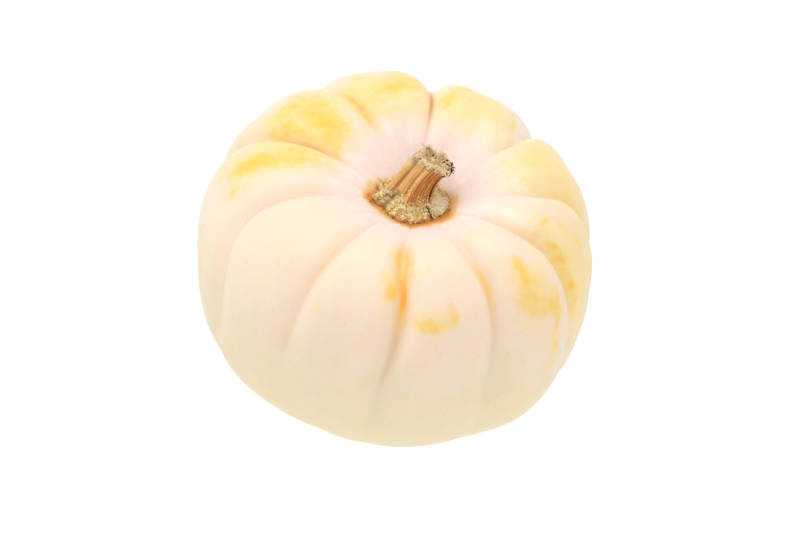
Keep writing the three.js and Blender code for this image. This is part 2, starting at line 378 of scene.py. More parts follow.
# %% Yellow washes and clouds
PALE_WASHES = [
    (144, 57, 17, 17, 1.0), (121, 58, 6, 12, 0.8), (99, 58, 15, 13, 0.95), (60, 61, 23, 14, 0.95),
    (8, 56, 17, 20, 0.8), (-3, 30, 7, 16, 0.75), (-6, 46, 6, 16, 0.45), (-18, 24, 13, 18, 0.5),
    (-29, 26, 7, 26, 0.9), (-26, 47, 6, 8, 0.3), (-49, 32, 8, 17, 0.7), (172, 50, 9, 19, 0.9),
    (164, 60, 6, 12, 0.8), (-97, 54, 6, 16, 0.6), (-83, 34, 9, 6, 0.5), (-176, 37, 4, 5, 0.5),
    (112, 56, 8, 12, 0.6), (153, 40, 6, 9, 0.45),
]
DEEP_CLOUDS = [
    (137, 58, 7, 11, 0.6), (143, 62, 7, 8, 0.8), (148, 48, 9, 9, 0.35), (154, 53, 5, 12, 0.4),
    (150, 68, 6, 5, 0.6), (139, 46, 9, 8, 0.4),
    (174.5, 38, 4.5, 8, 0.7), (173.5, 49, 5.5, 10, 0.75), (172, 61, 6, 8, 0.65), (164, 60, 4, 8, 0.5),
    (110, 61, 5, 6, 0.5), (103, 59, 6, 7, 0.6), (96, 57, 6, 9, 0.45), (89, 58, 4, 9, 0.35),
    (121, 60, 4, 10, 0.75),
    (72, 62, 6, 8, 0.6), (62, 60, 5, 5, 0.3), (53, 63, 6, 7, 0.2), (43, 66, 7, 5, 0.2),
    (38, 52, 4, 10, 0.5), (70, 52, 6, 6, 0.25),
    (8, 57, 7, 7, 0.3), (-6, 62, 5, 12, 0.35), (12, 46, 7, 8, 0.3), (-3, 34, 4, 10, 0.35),
    (-26, 51, 3, 3, 0.6), (-23, 43, 2.5, 5, 0.5), (-20.5, 33, 2.5, 7, 0.5), (-32, 50, 2.5, 3, 0.4),
    (-30.5, 40, 2.5, 6, 0.65), (-31, 32, 2.5, 6, 0.65), (-31.5, 21, 2.5, 8, 0.6), (-31, 11, 3, 7, 0.4),
    (-50, 47, 2.5, 4, 0.65), (-51, 41, 3, 5, 0.8), (-52, 33, 3.5, 5, 0.4), (-52, 27, 3, 3.5, 0.4),
    (-48, 27, 4, 4.5, 0.5), (-43.5, 28, 3, 5, 0.55), (-44.5, 21, 3, 5, 0.6), (-46, 15, 2.5, 6, 0.6),
    (-46.5, 8, 2.2, 4, 0.5), (-56, 43, 2, 2, 0.3), (-56, 33, 3, 4.5, 0.45),
    (-98, 45.5, 2.5, 6.5, 0.8), (-97.5, 61, 3.5, 9, 0.5), (-91.5, 55, 2.5, 9, 0.5),
    (-87, 33.5, 2.5, 3, 0.6), (-84, 32, 2.5, 3.8, 0.55), (-77.5, 35, 2.2, 4, 0.6),
    (-78, 40.5, 1.8, 2.4, 0.6), (-70, 32, 1.5, 1.5, 0.3), (-176, 37, 2.5, 3, 0.5),
]


def cloud_amount(clouds, azimuth, latitude):
    plain = np.ones(len(azimuth))
    for middle, height, half_width, half_length, strength in clouds:
        across = facing(azimuth, middle, half_width)
        lengthwise = bell(latitude - height, half_length)
        plain *= 1 - strength * across * lengthwise
    return 1 - plain


store(body, "pale_wash", cloud_amount(PALE_WASHES, azimuth, latitude))
store(body, "deep_cloud", cloud_amount(DEEP_CLOUDS, azimuth, latitude))
print(len(PALE_WASHES), "washes and", len(DEEP_CLOUDS), "clouds are stored")

# %% [markdown]
# The grooves between the ribs are stained peach to orange, some much more than others, and most
# strongly on the upper shoulder. Thin dark lines of painted crease shade and tan strips of painted
# shade lie in some of them, and painted light lies on the flanks beside some. All of these are strips
# along a groove. Each entry is the groove's azimuth, how far aside of it the strip lies and its half
# width, both in millimetres, the latitude of its middle, its reach along the groove in degrees and its
# strength.

# %% Strips along the grooves
GROOVE_STAINS = [
    (-166, 0, 1.6, 50, 20, 0.15), (-127, 0, 2.0, 48, 24, 0.25),
    (-93.7, 0, 1.15, 44, 16, 0.88), (-63.3, 0, 1.0, 43, 13, 0.65),
    (-33, 0, 1.5, 40, 24, 0.15), (-5, 0, 1.6, 50, 24, 0.2),
    (35, 0, 1.8, 52, 18, 0.25), (83, 0, 0.6, 55, 16, 0.5),
    (122, 0, 1.4, 58, 13, 0.6), (156, 0, 1.5, 62, 12, 0.5),
]
# Painted shade: thin dark lines along the creases at the bottoms of some grooves.
CREASE_SHADE_LINES = [
    (83, 0, 0.45, 57, 13, 1.0), (156, 0, 0.45, 58, 12, 0.55),
    (35, 0, 0.45, 55, 14, 0.3), (122, 0, 0.45, 58, 10, 0.3),
    (-166, 0, 0.45, 52, 22, 0.15), (-127, 0, 0.45, 48, 20, 0.12),
]
# Painted shade: tan strips beside the lower parts of some grooves, where shade falls.
PAINTED_TAN_SHADES = [
    (-93.7, 0.3, 1.2, 24, 17, 0.55), (-63.3, 0.2, 0.9, 26, 14, 0.3),
]
# Painted light on some groove flanks, to lighten the shade that falls beside the grooves.
PAINTED_LIGHT_FLANKS = [
    (83, -1.8, 1.5, 58, 16, 0.9), (83, 1.6, 1.2, 58, 14, 0.6),
    (35, 2.0, 1.9, 55, 18, 0.9), (-5, 1.8, 1.8, 45, 26, 0.9),
    (-33, 2.0, 2.2, 36, 30, 1.0), (156, -1.6, 1.5, 60, 14, 0.7),
]
STRIPS = {
    "groove_stain": GROOVE_STAINS, "groove_crease_shade": CREASE_SHADE_LINES,
    "painted_groove_shade": PAINTED_TAN_SHADES, "painted_light_flank": PAINTED_LIGHT_FLANKS,
}


def strip_amount(strips, rib_azimuth, latitude, radius):
    amount = np.zeros(len(latitude))
    for groove, offset, width, height, reach, strength in strips:
        aside = np.radians(turn_between(rib_azimuth, groove)) * radius - offset * MM
        strip = strength * bell(latitude - height, reach) * bell(aside, width * MM)
        amount = np.maximum(amount, strip)
    return amount


for mask_name, strips in STRIPS.items():
    store(body, mask_name, strip_amount(strips, rib_azimuth, latitude, axis_distance))
    print(mask_name, "is stored from", len(strips), "strips")

# %% [markdown]
# Three broad masks tell the pink crown round the stem, the belly, beige and darker with painted shade,
# and the brown blossom end. The flow of the ribs is stored too, so that streaks can run along them.

# %% Crown, belly, blossom end and flow of the ribs
CROWN_FADE = (10 * MM, 27 * MM)
BELLY_FADE = (-40, 25)
BLOSSOM_FADE = (1.5 * MM, 6 * MM)
POLE = 90

store(body, "crown", np.where(latitude > 0, 1 - ease(axis_distance, *CROWN_FADE), 0))
store(body, "belly", ease(-latitude, *BELLY_FADE))
store(body, "blossom_end", np.where(latitude < 0, 1 - ease(axis_distance, *BLOSSOM_FADE), 0))
store_vectors(body, "rib_flow", round_and_up(rib_azimuth, latitude / POLE))
print("crown, belly and blossom-end masks are stored")

# %% [markdown]
# ## Where the stem meets the fruit
#
# The nearest distance between the two meshes gives two more values: the skin is stained brown close
# to the stem, and the rim of the stem's base is brown close to the skin. The stain reaches further
# in front of the stem than behind it. Each entry of its offsets is a side of the stem, its spread in
# degrees, and how many millimetres the stain draws back there. Below zero it reaches further.

# %% Distances between the stem and the skin
STAIN_REACH = 6 * MM
STAIN_SEARCH = 18 * MM
SKIN_REACH = 20 * MM
CLOSE = 2.5 * MM
STAIN_MIDDLE = np.array((5.28, -1.04)) * MM
STAIN_OFFSETS = [
    (125, 40, 2.5), (25, 35, 1.7), (280, 42, -1.6), (308, 25, -1.2), (175, 22, -0.9), (222, 22, 0.3),
]


def distance_to(piece, places, reach):
    faces = [list(face.vertices) for face in piece.data.polygons]
    tree = BVHTree.FromPolygons(vertex_places(piece).tolist(), faces)
    found = [tree.find_nearest(Vector(place), reach) for place in places]
    return np.array([reach if hit[3] is None else hit[3] for hit in found])


near_stem = (axis_distance < STAIN_SEARCH) & (latitude > 0)
to_stem = np.full(len(body_places), STAIN_REACH)
to_stem[near_stem] = distance_to(stem, body_places[near_stem], STAIN_REACH)
from_middle = body_places[:, :2] - STAIN_MIDDLE
stem_side = np.degrees(np.arctan2(from_middle[:, 1], from_middle[:, 0]))
stain_edge = to_stem.copy()
for side, side_spread, draw_back in STAIN_OFFSETS:
    stain_edge += draw_back * MM * facing(stem_side, side, side_spread)
store(body, "to_stem", stain_edge / MM)
stem_places = vertex_places(stem)
to_skin = distance_to(body, stem_places, SKIN_REACH)
print("stem points near the skin:", int((to_skin < CLOSE).sum()))

# %% [markdown]
# ## The stem's own coordinates
#
# Along its bent centre line the stem has a crusted base, a ridged shaft and a cut end. Every point
# gets its distance along that line, its turn round the line and its distance from it. The base's
# rings lie level and the shaft's rings tilt with the line, so the turn is measured in each ring's own
# plane.

# %% Coordinates along the stem
STEM_SEAT = np.array((5.28, -1.04, 48.98)) * MM
STEM_FOOT = np.array((-0.9, 0.2, 0)) * MM
STEM_BEND = np.array((-1.2, 0.5, 6)) * MM
STEM_END = np.array((5, 2, 12.5)) * MM
LINE_STEPS = 121
LEVEL_UNTIL = 0.35 * MM
TILTED_FROM = 6 * MM
X_AXIS = np.array((1, 0, 0))
Z_AXIS = np.array((0, 0, 1))


def stem_line():
    share = np.linspace(0, 1, LINE_STEPS)[:, None]
    start = (1 - share) ** 2 * STEM_FOOT
    middle = 2 * share * (1 - share) * STEM_BEND
    return STEM_SEAT + start + middle + share ** 2 * STEM_END


def unit(vectors):
    return vectors / np.linalg.norm(vectors, axis=1)[:, None]


def ring_directions(line, length):
    """Two directions in the plane of each ring: to the right and to the back."""
    tilted = ease(length, LEVEL_UNTIL, TILTED_FROM)[:, None]
    up = unit((1 - tilted) * Z_AXIS + tilted * unit(np.gradient(line, axis=0)))
    across = unit(X_AXIS - up[:, :1] * up)
    return across, np.cross(up, across)


def stem_coordinates(places):
    line = stem_line()
    steps = np.linalg.norm(np.diff(line, axis=0), axis=1)
    length = np.concatenate(([0], np.cumsum(steps)))
    gaps = np.linalg.norm(places[:, None, :] - line[None, :, :], axis=2)
    nearest = gaps.argmin(axis=1)
    aside = places - line[nearest]
    across, back = ring_directions(line, length)
    sideways = (aside * across[nearest]).sum(axis=1)
    backwards = (aside * back[nearest]).sum(axis=1)
    return length[nearest], np.degrees(np.arctan2(backwards, sideways)), gaps.min(axis=1)


along, stem_turn, off_line = stem_coordinates(stem_places)
print("stem length", round(along.max() / MM, 1), "mm")

# %% [markdown]
# ## Relief on the stem
#
# Dry stems are fibrous: sharp ridges and fine threads run up the shaft. The base has burst into a
# sandy crust of grains, and the cut end is lumpy, pitted cork. First come these three zones, with
# ragged edges that are higher on one side. A side is its middle turn and its spread in degrees.

# %% Crust, shaft and cut end
ROUGH_SIZE = 1.3 * MM
CRUST_LEVEL = 4.8 * MM
CRUST_RISE = 1.4 * MM
CRUST_HIGH_SIDE = (350, 40)
CRUST_RAGGEDNESS = 1.6 * MM
CRUST_EDGE_BELOW = 1.5 * MM
CRUST_EDGE_ABOVE = 1.3 * MM
CUT_LEVEL = 11.6 * MM
CUT_RISE = 0.8 * MM
CUT_HIGH_SIDE = (295, 60)
CUT_RAGGEDNESS = 0.5 * MM
CUT_EDGE = 0.9 * MM

rough = smooth_noise(stem_places, ROUGH_SIZE)
crust_top = CRUST_LEVEL + CRUST_RISE * facing(stem_turn, *CRUST_HIGH_SIDE)
ragged_along = along + CRUST_RAGGEDNESS * rough
crust = 1 - ease(ragged_along, crust_top - CRUST_EDGE_BELOW, crust_top + CRUST_EDGE_ABOVE)
cut_start = CUT_LEVEL + CUT_RISE * facing(stem_turn, *CUT_HIGH_SIDE)
cut_end = ease(along + CUT_RAGGEDNESS * rough, cut_start, cut_start + CUT_EDGE)
shaft = (1 - crust) * (1 - cut_end)
for zone_name, zone in (("crust", crust), ("shaft", shaft), ("cut end", cut_end)):
    print(zone_name, "covers", round(100 * zone.mean()), "% of the stem's points")

# %% [markdown]
# Then come the small forms in the zones. Ridges, gaps, the furrow and the crack are bells at chosen
# turns. Fibres are noise that is stretched along the shaft, and grains and pits are the middles of
# random cells.

# %% Ridges, fibres, gaps, grains and pits
# Each ridge's turn and its share of the full height.
RIDGES = [
    (190, 1.0), (219, 0.5), (248, 1.0), (285, 0.3), (322, 0.9), (10, 0.6), (62, 0.9), (122, 0.9),
]
RIDGE_WIDTH = 7
BROAD_FIBRES = 8
FINE_FIBRES = 18
BROAD_SHARE = 0.4
FIBRE_STRETCH = 0.25
FURROW_TURN = 309
FURROW_WIDTH = 2.3
FURROW_FADE = (10.5 * MM, 12.5 * MM)
CRACK_TURN = 300
CRACK_WIDTH = 2.4
CRACK_FADE = (5 * MM, 6 * MM)
LOBE_GAPS = (176, 212)
LOBE_GAP_WIDTH = 6
FILLED_GAPS = (246, 293, 334)
FILLED_GAP_WIDTH = 9
SHAFT_GAPS = (204, 236)
SHAFT_GAP_WIDTH = 4
GRAIN_CELL = 0.42 * MM
GRAIN_STEEPNESS = 1.5
PIT_CELL = 0.85 * MM
PIT_STEEPNESS = 1.7
PIT_EDGE = (0.3, 0.75)
PIT_FIELD_SIZE = 2 * MM
PIT_FIELD_EDGE = (-0.35, 0.1)


def cell_noise(places, size):
    return np.array([noise.voronoi(Vector(place) / size)[0][0] for place in places])


def fibre_noise(count):
    return smooth_noise(round_and_up(stem_turn, along / MM * FIBRE_STRETCH, count))


def all_facing(turns, width):
    return sum(facing(stem_turn, turn, width) for turn in turns)


ridges = sum(share * facing(stem_turn, ridge, RIDGE_WIDTH) for ridge, share in RIDGES)
fibres = BROAD_SHARE * fibre_noise(BROAD_FIBRES) + fibre_noise(FINE_FIBRES)
furrow_end = 1 - ease(along, *FURROW_FADE)
furrow = facing(stem_turn, FURROW_TURN, FURROW_WIDTH) * shaft * furrow_end
crack = facing(stem_turn, CRACK_TURN, CRACK_WIDTH) * ease(off_line, *CRACK_FADE) * crust
lobe_gaps = all_facing(LOBE_GAPS, LOBE_GAP_WIDTH) * crust
filled_gaps = all_facing(FILLED_GAPS, FILLED_GAP_WIDTH) * crust
shaft_gaps = all_facing(SHAFT_GAPS, SHAFT_GAP_WIDTH) * shaft
grains = 1 - GRAIN_STEEPNESS * cell_noise(stem_places, GRAIN_CELL)
pit_field = ease(smooth_noise(stem_places, PIT_FIELD_SIZE), *PIT_FIELD_EDGE)
pit_middles = 1 - PIT_STEEPNESS * cell_noise(stem_places, PIT_CELL)
pits = pit_field * ease(pit_middles, *PIT_EDGE)
print(len(RIDGES), "ridges and", len(LOBE_GAPS) + len(SHAFT_GAPS), "gaps are laid out")

# %% [markdown]
# All of these are small shapes, so the points of the dense mesh are moved along their normals. The
# solids leave a hair's gap under the stem, so the rim of its base sinks into the skin and the stem
# looks grown on. The cut end is lifted and turned a little more level. Under it the shaft is wider on
# the left and narrower on the right.

# %% Move the points of the stem
RIDGE_HEIGHT = 0.25 * MM
RIDGE_FOOT = 0.35
FIBRE_DEPTH = 0.1 * MM
FURROW_DEPTH = 0.45 * MM
CRUST_LUMPS = 0.45 * MM
GRAIN_HEIGHT = 0.16 * MM
CORK_LUMPS = 0.4 * MM
CORK_SIZE = 1.1 * MM
PIT_DEPTH = 0.5 * MM
CRACK_DEPTH = 0.6 * MM
LOBE_GAP_DEPTH = 0.5 * MM
SHAFT_GAP_DEPTH = 0.15 * MM
FILLING = 0.5 * MM
FLARE_LEVEL = 10.5 * MM
FLARE_SPREAD = 3.2 * MM
LEFT_FLARE = 1.2 * MM
LEFT_SIDE = (166, 45)
RIGHT_WAIST = 0.7 * MM
RIGHT_SIDE = (333, 30)
RELIEF_FADE = (0.25 * MM, 0.8 * MM)
SEAT_SINK = 0.7 * MM
SEAT_REACH = 2.2 * MM
CAP_LIFT = 0.5 * MM
CAP_LEVELLING = 0.25
CAP_FADE = (9 * MM, 12.5 * MM)

shaft_relief = RIDGE_HEIGHT * (ridges - RIDGE_FOOT) + FIBRE_DEPTH * fibres
relief = shaft * shaft_relief - FURROW_DEPTH * furrow
relief += crust * (CRUST_LUMPS * rough + GRAIN_HEIGHT * grains)
relief += cut_end * (CORK_LUMPS * smooth_noise(stem_places, CORK_SIZE) - PIT_DEPTH * pits)
relief -= CRACK_DEPTH * crack + LOBE_GAP_DEPTH * lobe_gaps + SHAFT_GAP_DEPTH * shaft_gaps
relief += FILLING * filled_gaps
below_cap = bell(along - FLARE_LEVEL, FLARE_SPREAD) * (1 - cut_end)
relief += LEFT_FLARE * below_cap * facing(stem_turn, *LEFT_SIDE)
relief -= RIGHT_WAIST * below_cap * facing(stem_turn, *RIGHT_SIDE)
relief *= ease(to_skin, *RELIEF_FADE)
sinking = np.zeros((len(stem_places), 3))
sinking[:, 2] = SEAT_SINK * (1 - ease(to_skin, 0, SEAT_REACH))
cap_middle = STEM_SEAT[0] + STEM_END[0]
cap_rise = CAP_LIFT + CAP_LEVELLING * (stem_places[:, 0] - cap_middle)
sinking[:, 2] -= cap_rise * ease(along, *CAP_FADE)
stem_places = stem_places + vertex_normals(stem) * relief[:, None] - sinking
move_vertices(stem, stem_places)
print("stem moved by", round(relief.min() / MM, 2), "to", round(relief.max() / MM, 2), "mm")

# %% [markdown]
# The same values steer the stem's colours. The pale cork also runs down the shoulder on the left, in
# streaks along the fibres.

# %% Masks on the stem
RIDGE_FAINTEST = 0.35
RIDGE_FADE = (4 * MM, 11 * MM)
PALE_AND_PAINTED_LIGHT_SIDE = (340, 35)
LIT_SIDE = (206, 42)
LOBE_GAP_SHADE = 0.8
SHAFT_GAP_SHADE = 0.6
SHOULDER_SIDE = (195, 34)
SHOULDER_STREAKS = 1.5 * MM
SHOULDER_FADE = (8.8 * MM, 11 * MM)
SHOULDER_TONE = 0.75
FLOW_LENGTH = 20 * MM

ridge_tone = RIDGE_FAINTEST + (1 - RIDGE_FAINTEST) * ease(along, *RIDGE_FADE)
shoulder_streaks = ease(along + SHOULDER_STREAKS * fibres, *SHOULDER_FADE)
shoulder = facing(stem_turn, *SHOULDER_SIDE) * shoulder_streaks
stem_masks = {
    "ridges": ridges * shaft * ridge_tone,
    "pale_and_painted_light_side": crust * facing(stem_turn, *PALE_AND_PAINTED_LIGHT_SIDE),
    "lit_side": shaft * facing(stem_turn, *LIT_SIDE),
    "furrow": np.maximum(furrow, crack),
    "gaps": np.maximum(LOBE_GAP_SHADE * lobe_gaps, SHAFT_GAP_SHADE * shaft_gaps),
    "crust": crust,
    "cut_end": np.maximum(cut_end, SHOULDER_TONE * shoulder),
    "grains": grains,
    "painted_shade_in_hollows": -rough,
    "pits": pits * cut_end,
    "to_skin": to_skin / MM,
}
for mask_name, mask in stem_masks.items():
    store(stem, mask_name, mask)
store_vectors(stem, "stem_flow", round_and_up(stem_turn, along / FLOW_LENGTH))
print(len(stem_masks), "stem masks are stored")

# %% [markdown]
# ## Small helpers for materials
#
# A material is a chain of small nodes. Each helper adds a node or two, so that a finish reads from top
# to bottom as a list of layers.

# %% Material helpers


def colour(red, green, blue):
    """A display colour from 0 to 255 as the linear colour that a shader takes."""
    shares = [value / 255 for value in (red, green, blue)]
    linear = [s / 12.92 if s <= 0.04045 else ((s + 0.055) / 1.055) ** 2.4 for s in shares]
    return (*linear, 1)


def plug(tree, value, socket):
    if isinstance(value, bpy.types.NodeSocket):
        tree.links.new(value, socket)
    else:
        socket.default_value = value


def read_mask(tree, name, output="Fac"):
    node = tree.nodes.new("ShaderNodeAttribute")
    node.attribute_name = name
    return node.outputs[output]


def read_place(tree):
    return tree.nodes.new("ShaderNodeTexCoord").outputs["Object"]


def add_noise(tree, vector, scale, detail=3.0, roughness=0.55):
    node = tree.nodes.new("ShaderNodeTexNoise")
    plug(tree, vector, node.inputs["Vector"])
    set_inputs(node, {"Scale": scale, "Detail": detail, "Roughness": roughness})
    return node.outputs["Fac"]


def flow_noise(tree, name, stretch, detail=3, roughness=0.6):
    node = tree.nodes.new("ShaderNodeVectorMath")
    node.operation = "MULTIPLY"
    node.inputs[1].default_value = stretch
    plug(tree, read_mask(tree, name, "Vector"), node.inputs[0])
    return add_noise(tree, node.outputs["Vector"], 1.0, detail, roughness)


def add_cells(tree, vector, scale):
    node = tree.nodes.new("ShaderNodeTexVoronoi")
    plug(tree, vector, node.inputs["Vector"])
    node.inputs["Scale"].default_value = scale
    return node.outputs["Distance"], node.outputs["Color"]


def add_math(tree, operation, first, second):
    node = tree.nodes.new("ShaderNodeMath")
    node.operation = operation
    plug(tree, first, node.inputs[0])
    plug(tree, second, node.inputs[1])
    return node.outputs["Value"]


def times(tree, first, second):
    return add_math(tree, "MULTIPLY", first, second)


def add_range(tree, value, low, high, to_low=0.0, to_high=1.0):
    node = tree.nodes.new("ShaderNodeMapRange")
    node.interpolation_type = "SMOOTHSTEP"
    plug(tree, value, node.inputs["Value"])
    set_inputs(node, {"From Min": low, "From Max": high, "To Min": to_low, "To Max": to_high})
    return node.outputs["Result"]


def layer(tree, amount, under, over):
    """The colour under, covered by the colour over where amount is one."""
    node = tree.nodes.new("ShaderNodeMix")
    node.data_type = "RGBA"
    plug(tree, amount, node.inputs["Factor"])
    plug(tree, under, node.inputs["A"])
    plug(tree, over, node.inputs["B"])
    return node.outputs["Result"]


def glaze(tree, under, over, value, *steps):
    """The colour under, covered by the colour over as the value passes the steps."""
    return layer(tree, add_range(tree, value, *steps), under, over)


def add_bump(tree, height, strength, distance):
    node = tree.nodes.new("ShaderNodeBump")
    set_inputs(node, {"Strength": strength, "Distance": distance})
    plug(tree, height, node.inputs["Height"])
    return node.outputs["Normal"]


def new_finish(name):
    material = bpy.data.materials.new(name)
    material.use_nodes = True
    return material, material.node_tree, material.node_tree.nodes["Principled BSDF"]


print("material helpers are ready")

# %% [markdown]
# ## The skin
#
# The skin is cream on the shoulders, beige on the belly, where painted shade also darkens it towards
# the bottom, and pinkish white round the stem, with faint pale rays there. All of it is softly mottled
# in streaks that run along the ribs. The yellow lies over it like watercolour: pale washes with soft
# edges, then deeper clouds. The grooves are stained orange, the skin beside the stem is stained brown,
# and tiny corky pores pepper the ribs. Light goes into the pale flesh, so subsurface scattering
# softens the grooves.

# %% Colours of the skin
CREAM = colour(247, 225, 204)
BELLY_BEIGE_AND_SHADE = colour(234, 218, 181)
MOTTLE_PEACH = colour(248, 217, 190)
MOTTLE_SAGE = colour(232, 223, 192)
CROWN_PINK = colour(251, 228, 219)
CROWN_LILAC = colour(240, 217, 212)
RAY_WHITE = colour(253, 242, 238)
PALE_YELLOW = colour(254, 221, 148)
DEEP_YELLOW = colour(255, 207, 88)
PAINTED_LIGHT_FLANK = colour(255, 246, 228)
GROOVE_PEACH = colour(254, 216, 140)
GROOVE_ORANGE = colour(252, 186, 40)
GROOVE_CREASE_SHADE = colour(186, 122, 66)
GROOVE_PAINTED_SHADE = colour(226, 194, 138)
STEM_STAIN = colour(233, 166, 86)
STEM_STAIN_DARK = colour(204, 130, 62)
PORE_BROWN = colour(186, 142, 92)
BLOSSOM_BROWN = colour(120, 84, 50)
print("the skin's colours are mixed")

# %% [markdown]
# Each function below lays some layers over the paint that it is given. A mask is shaken by noise
# before it is used, so that no edge is clean.

# %% Paint of the skin
# Stretches of noise: the first two numbers count round the fruit, the last along the ribs.
STREAK_FLOW = (9, 9, 4)
BAND_FLOW = (-7, 7, 3)
RAY_FLOW = (7, 7, 11)
NOISE_MIDDLE = 0.5
TINY_PORES = {"scale": 520, "size": 0.18, "rarity": 0.35}
WIDE_PORES = {"scale": 260, "size": 0.12, "rarity": 0.64}
TINY_PORE_TONE = 0.15
WIDE_PORE_TONE = 0.11
PORE_CORE_SHARE = 0.3
RARITY_EDGE = 0.1
SKIN_SHINE = 0.3
FLESH_SHARE = 0.5
FLESH_DEPTHS = (0.005, 0.0035, 0.002)
SKIN_GRAIN_HEIGHT = 0.35
SKIN_BUMP = 0.2
BUMP_DISTANCE = 0.0002


def shaken(tree, value, *shakes):
    """A mask made ragged by noises, each given with its strength."""
    for noise_value, strength in shakes:
        swing = add_math(tree, "SUBTRACT", noise_value, NOISE_MIDDLE)
        value = add_math(tree, "ADD", value, times(tree, swing, strength))
    return value


def ragged(tree, name, *shakes):
    return shaken(tree, read_mask(tree, name), *shakes)


def ground_paint(tree, soft, fine):
    streaks = flow_noise(tree, "rib_flow", STREAK_FLOW)
    bands = flow_noise(tree, "rib_flow", BAND_FLOW, detail=4)
    # The belly's beige is partly its own tone and partly painted shade, darker towards the bottom.
    belly = ragged(tree, "belly", (soft, 0.5), (streaks, 0.5))
    paint = glaze(tree, CREAM, BELLY_BEIGE_AND_SHADE, belly, 0.0, 1.0)
    paint = glaze(tree, paint, MOTTLE_PEACH, streaks, 0.48, 0.75, 0.0, 0.4)
    paint = glaze(tree, paint, MOTTLE_SAGE, bands, 0.5, 0.8, 0.0, 0.5)
    crown = ragged(tree, "crown", (fine, 0.4), (soft, 0.5))
    paint = glaze(tree, paint, CROWN_PINK, crown, 0.1, 0.8)
    lilac = shaken(tree, times(tree, read_mask(tree, "crown"), soft), (fine, 0.3))
    paint = glaze(tree, paint, CROWN_LILAC, lilac, 0.35, 0.65, 0.0, 0.6)
    # Painted light lightens the groove flanks where shade falls.
    return layer(tree, read_mask(tree, "painted_light_flank"), paint, PAINTED_LIGHT_FLANK)


def yellow_paint(tree, paint, soft, fine):
    wash = ragged(tree, "pale_wash", (soft, 0.7), (fine, 0.55))
    paint = glaze(tree, paint, PALE_YELLOW, wash, 0.0, 0.75, 0.0, 0.75)
    cloud = ragged(tree, "deep_cloud", (soft, 0.55), (fine, 0.9))
    paint = glaze(tree, paint, DEEP_YELLOW, cloud, 0.1, 1.0)
    middle = ragged(tree, "crown", (soft, 0.4))
    return glaze(tree, paint, CROWN_PINK, middle, 0.45, 0.95, 0.0, 0.7)


def crown_rays(tree, paint):
    rays = flow_noise(tree, "rib_flow", RAY_FLOW, roughness=0.55)
    near = read_mask(tree, "crown")
    pale = times(tree, near, add_range(tree, rays, 0.48, 0.7, 0.0, 0.5))
    paint = layer(tree, pale, paint, RAY_WHITE)
    dim = times(tree, near, add_range(tree, rays, 0.3, 0.48, 0.5, 0.0))
    return layer(tree, dim, paint, CROWN_LILAC)


def groove_paint(tree, paint, fine):
    # Painted shade in the lower parts of some grooves.
    shade = times(tree, read_mask(tree, "painted_groove_shade"), 0.8)
    paint = layer(tree, shade, paint, GROOVE_PAINTED_SHADE)
    stain = ragged(tree, "groove_stain", (fine, 0.25))
    paint = glaze(tree, paint, GROOVE_PEACH, stain, 0.05, 0.6, 0.0, 0.8)
    paint = glaze(tree, paint, GROOVE_ORANGE, stain, 0.45, 1.0, 0.0, 0.95)
    # Painted shade darkens the creases at the groove bottoms.
    line = times(tree, read_mask(tree, "groove_crease_shade"), 0.7)
    return layer(tree, line, paint, GROOVE_CREASE_SHADE)


def stem_ring_paint(tree, paint):
    place = read_place(tree)
    rough = add_noise(tree, place, 520, detail=3)
    broad = add_noise(tree, place, 210, detail=1)
    ring = ragged(tree, "to_stem", (rough, 2.6), (broad, 2.2))
    paint = glaze(tree, paint, GROOVE_PEACH, ring, 1.2, 3.8, 0.7, 0.0)
    paint = glaze(tree, paint, STEM_STAIN, ring, 0.4, 2.7, 0.95, 0.0)
    return glaze(tree, paint, STEM_STAIN_DARK, ring, -0.4, 0.7, 0.75, 0.0)


def pores(tree, scale, size, rarity):
    nearest, cell = add_cells(tree, read_place(tree), scale)
    chosen = add_range(tree, cell, rarity, rarity + RARITY_EDGE)
    dots = add_range(tree, nearest, size * PORE_CORE_SHARE, size, 1.0, 0.0)
    return times(tree, dots, chosen)


def skin_finish():
    material, tree, shader = new_finish("waxy_cream_skin")
    place = read_place(tree)
    soft = add_noise(tree, place, 190, detail=2, roughness=0.5)
    fine = add_noise(tree, place, 460, detail=3, roughness=0.55)
    paint = ground_paint(tree, soft, fine)
    paint = yellow_paint(tree, paint, soft, fine)
    paint = crown_rays(tree, paint)
    paint = groove_paint(tree, paint, fine)
    paint = stem_ring_paint(tree, paint)
    tiny = pores(tree, **TINY_PORES)
    wide = pores(tree, **WIDE_PORES)
    paint = layer(tree, times(tree, tiny, TINY_PORE_TONE), paint, PORE_BROWN)
    paint = layer(tree, times(tree, wide, WIDE_PORE_TONE), paint, PORE_BROWN)
    paint = layer(tree, read_mask(tree, "blossom_end"), paint, BLOSSOM_BROWN)
    plug(tree, paint, shader.inputs["Base Color"])
    plug(tree, add_range(tree, soft, 0.3, 0.7, 0.42, 0.55), shader.inputs["Roughness"])
    set_inputs(shader, {
        "Specular IOR Level": SKIN_SHINE, "Subsurface Weight": FLESH_SHARE,
        "Subsurface Radius": FLESH_DEPTHS, "Subsurface Scale": 1.0,
    })
    grain = times(tree, add_noise(tree, place, 1400, detail=3), SKIN_GRAIN_HEIGHT)
    height = add_math(tree, "SUBTRACT", grain, wide)
    plug(tree, add_bump(tree, height, SKIN_BUMP, BUMP_DISTANCE), shader.inputs["Normal"])
    return material


body.data.materials.append(skin_finish())
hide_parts("pumpkin_body")
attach(body, "root")
print("skin is on the fruit")

# %% [markdown]
# ## The stem
#
# The shaft is orange brown with straw-coloured ridges. Its left side is lighter with painted light,
# and painted shade darkens its furrow. The crust is straw and olive with pale and dark grains, and
# painted shade darkens its hollows, gaps and crack; its right lobe is paler, partly with painted
# light. The cut end is pale cork with pits darkened by painted shade. One finish covers all three and
# takes their masks from the mesh.

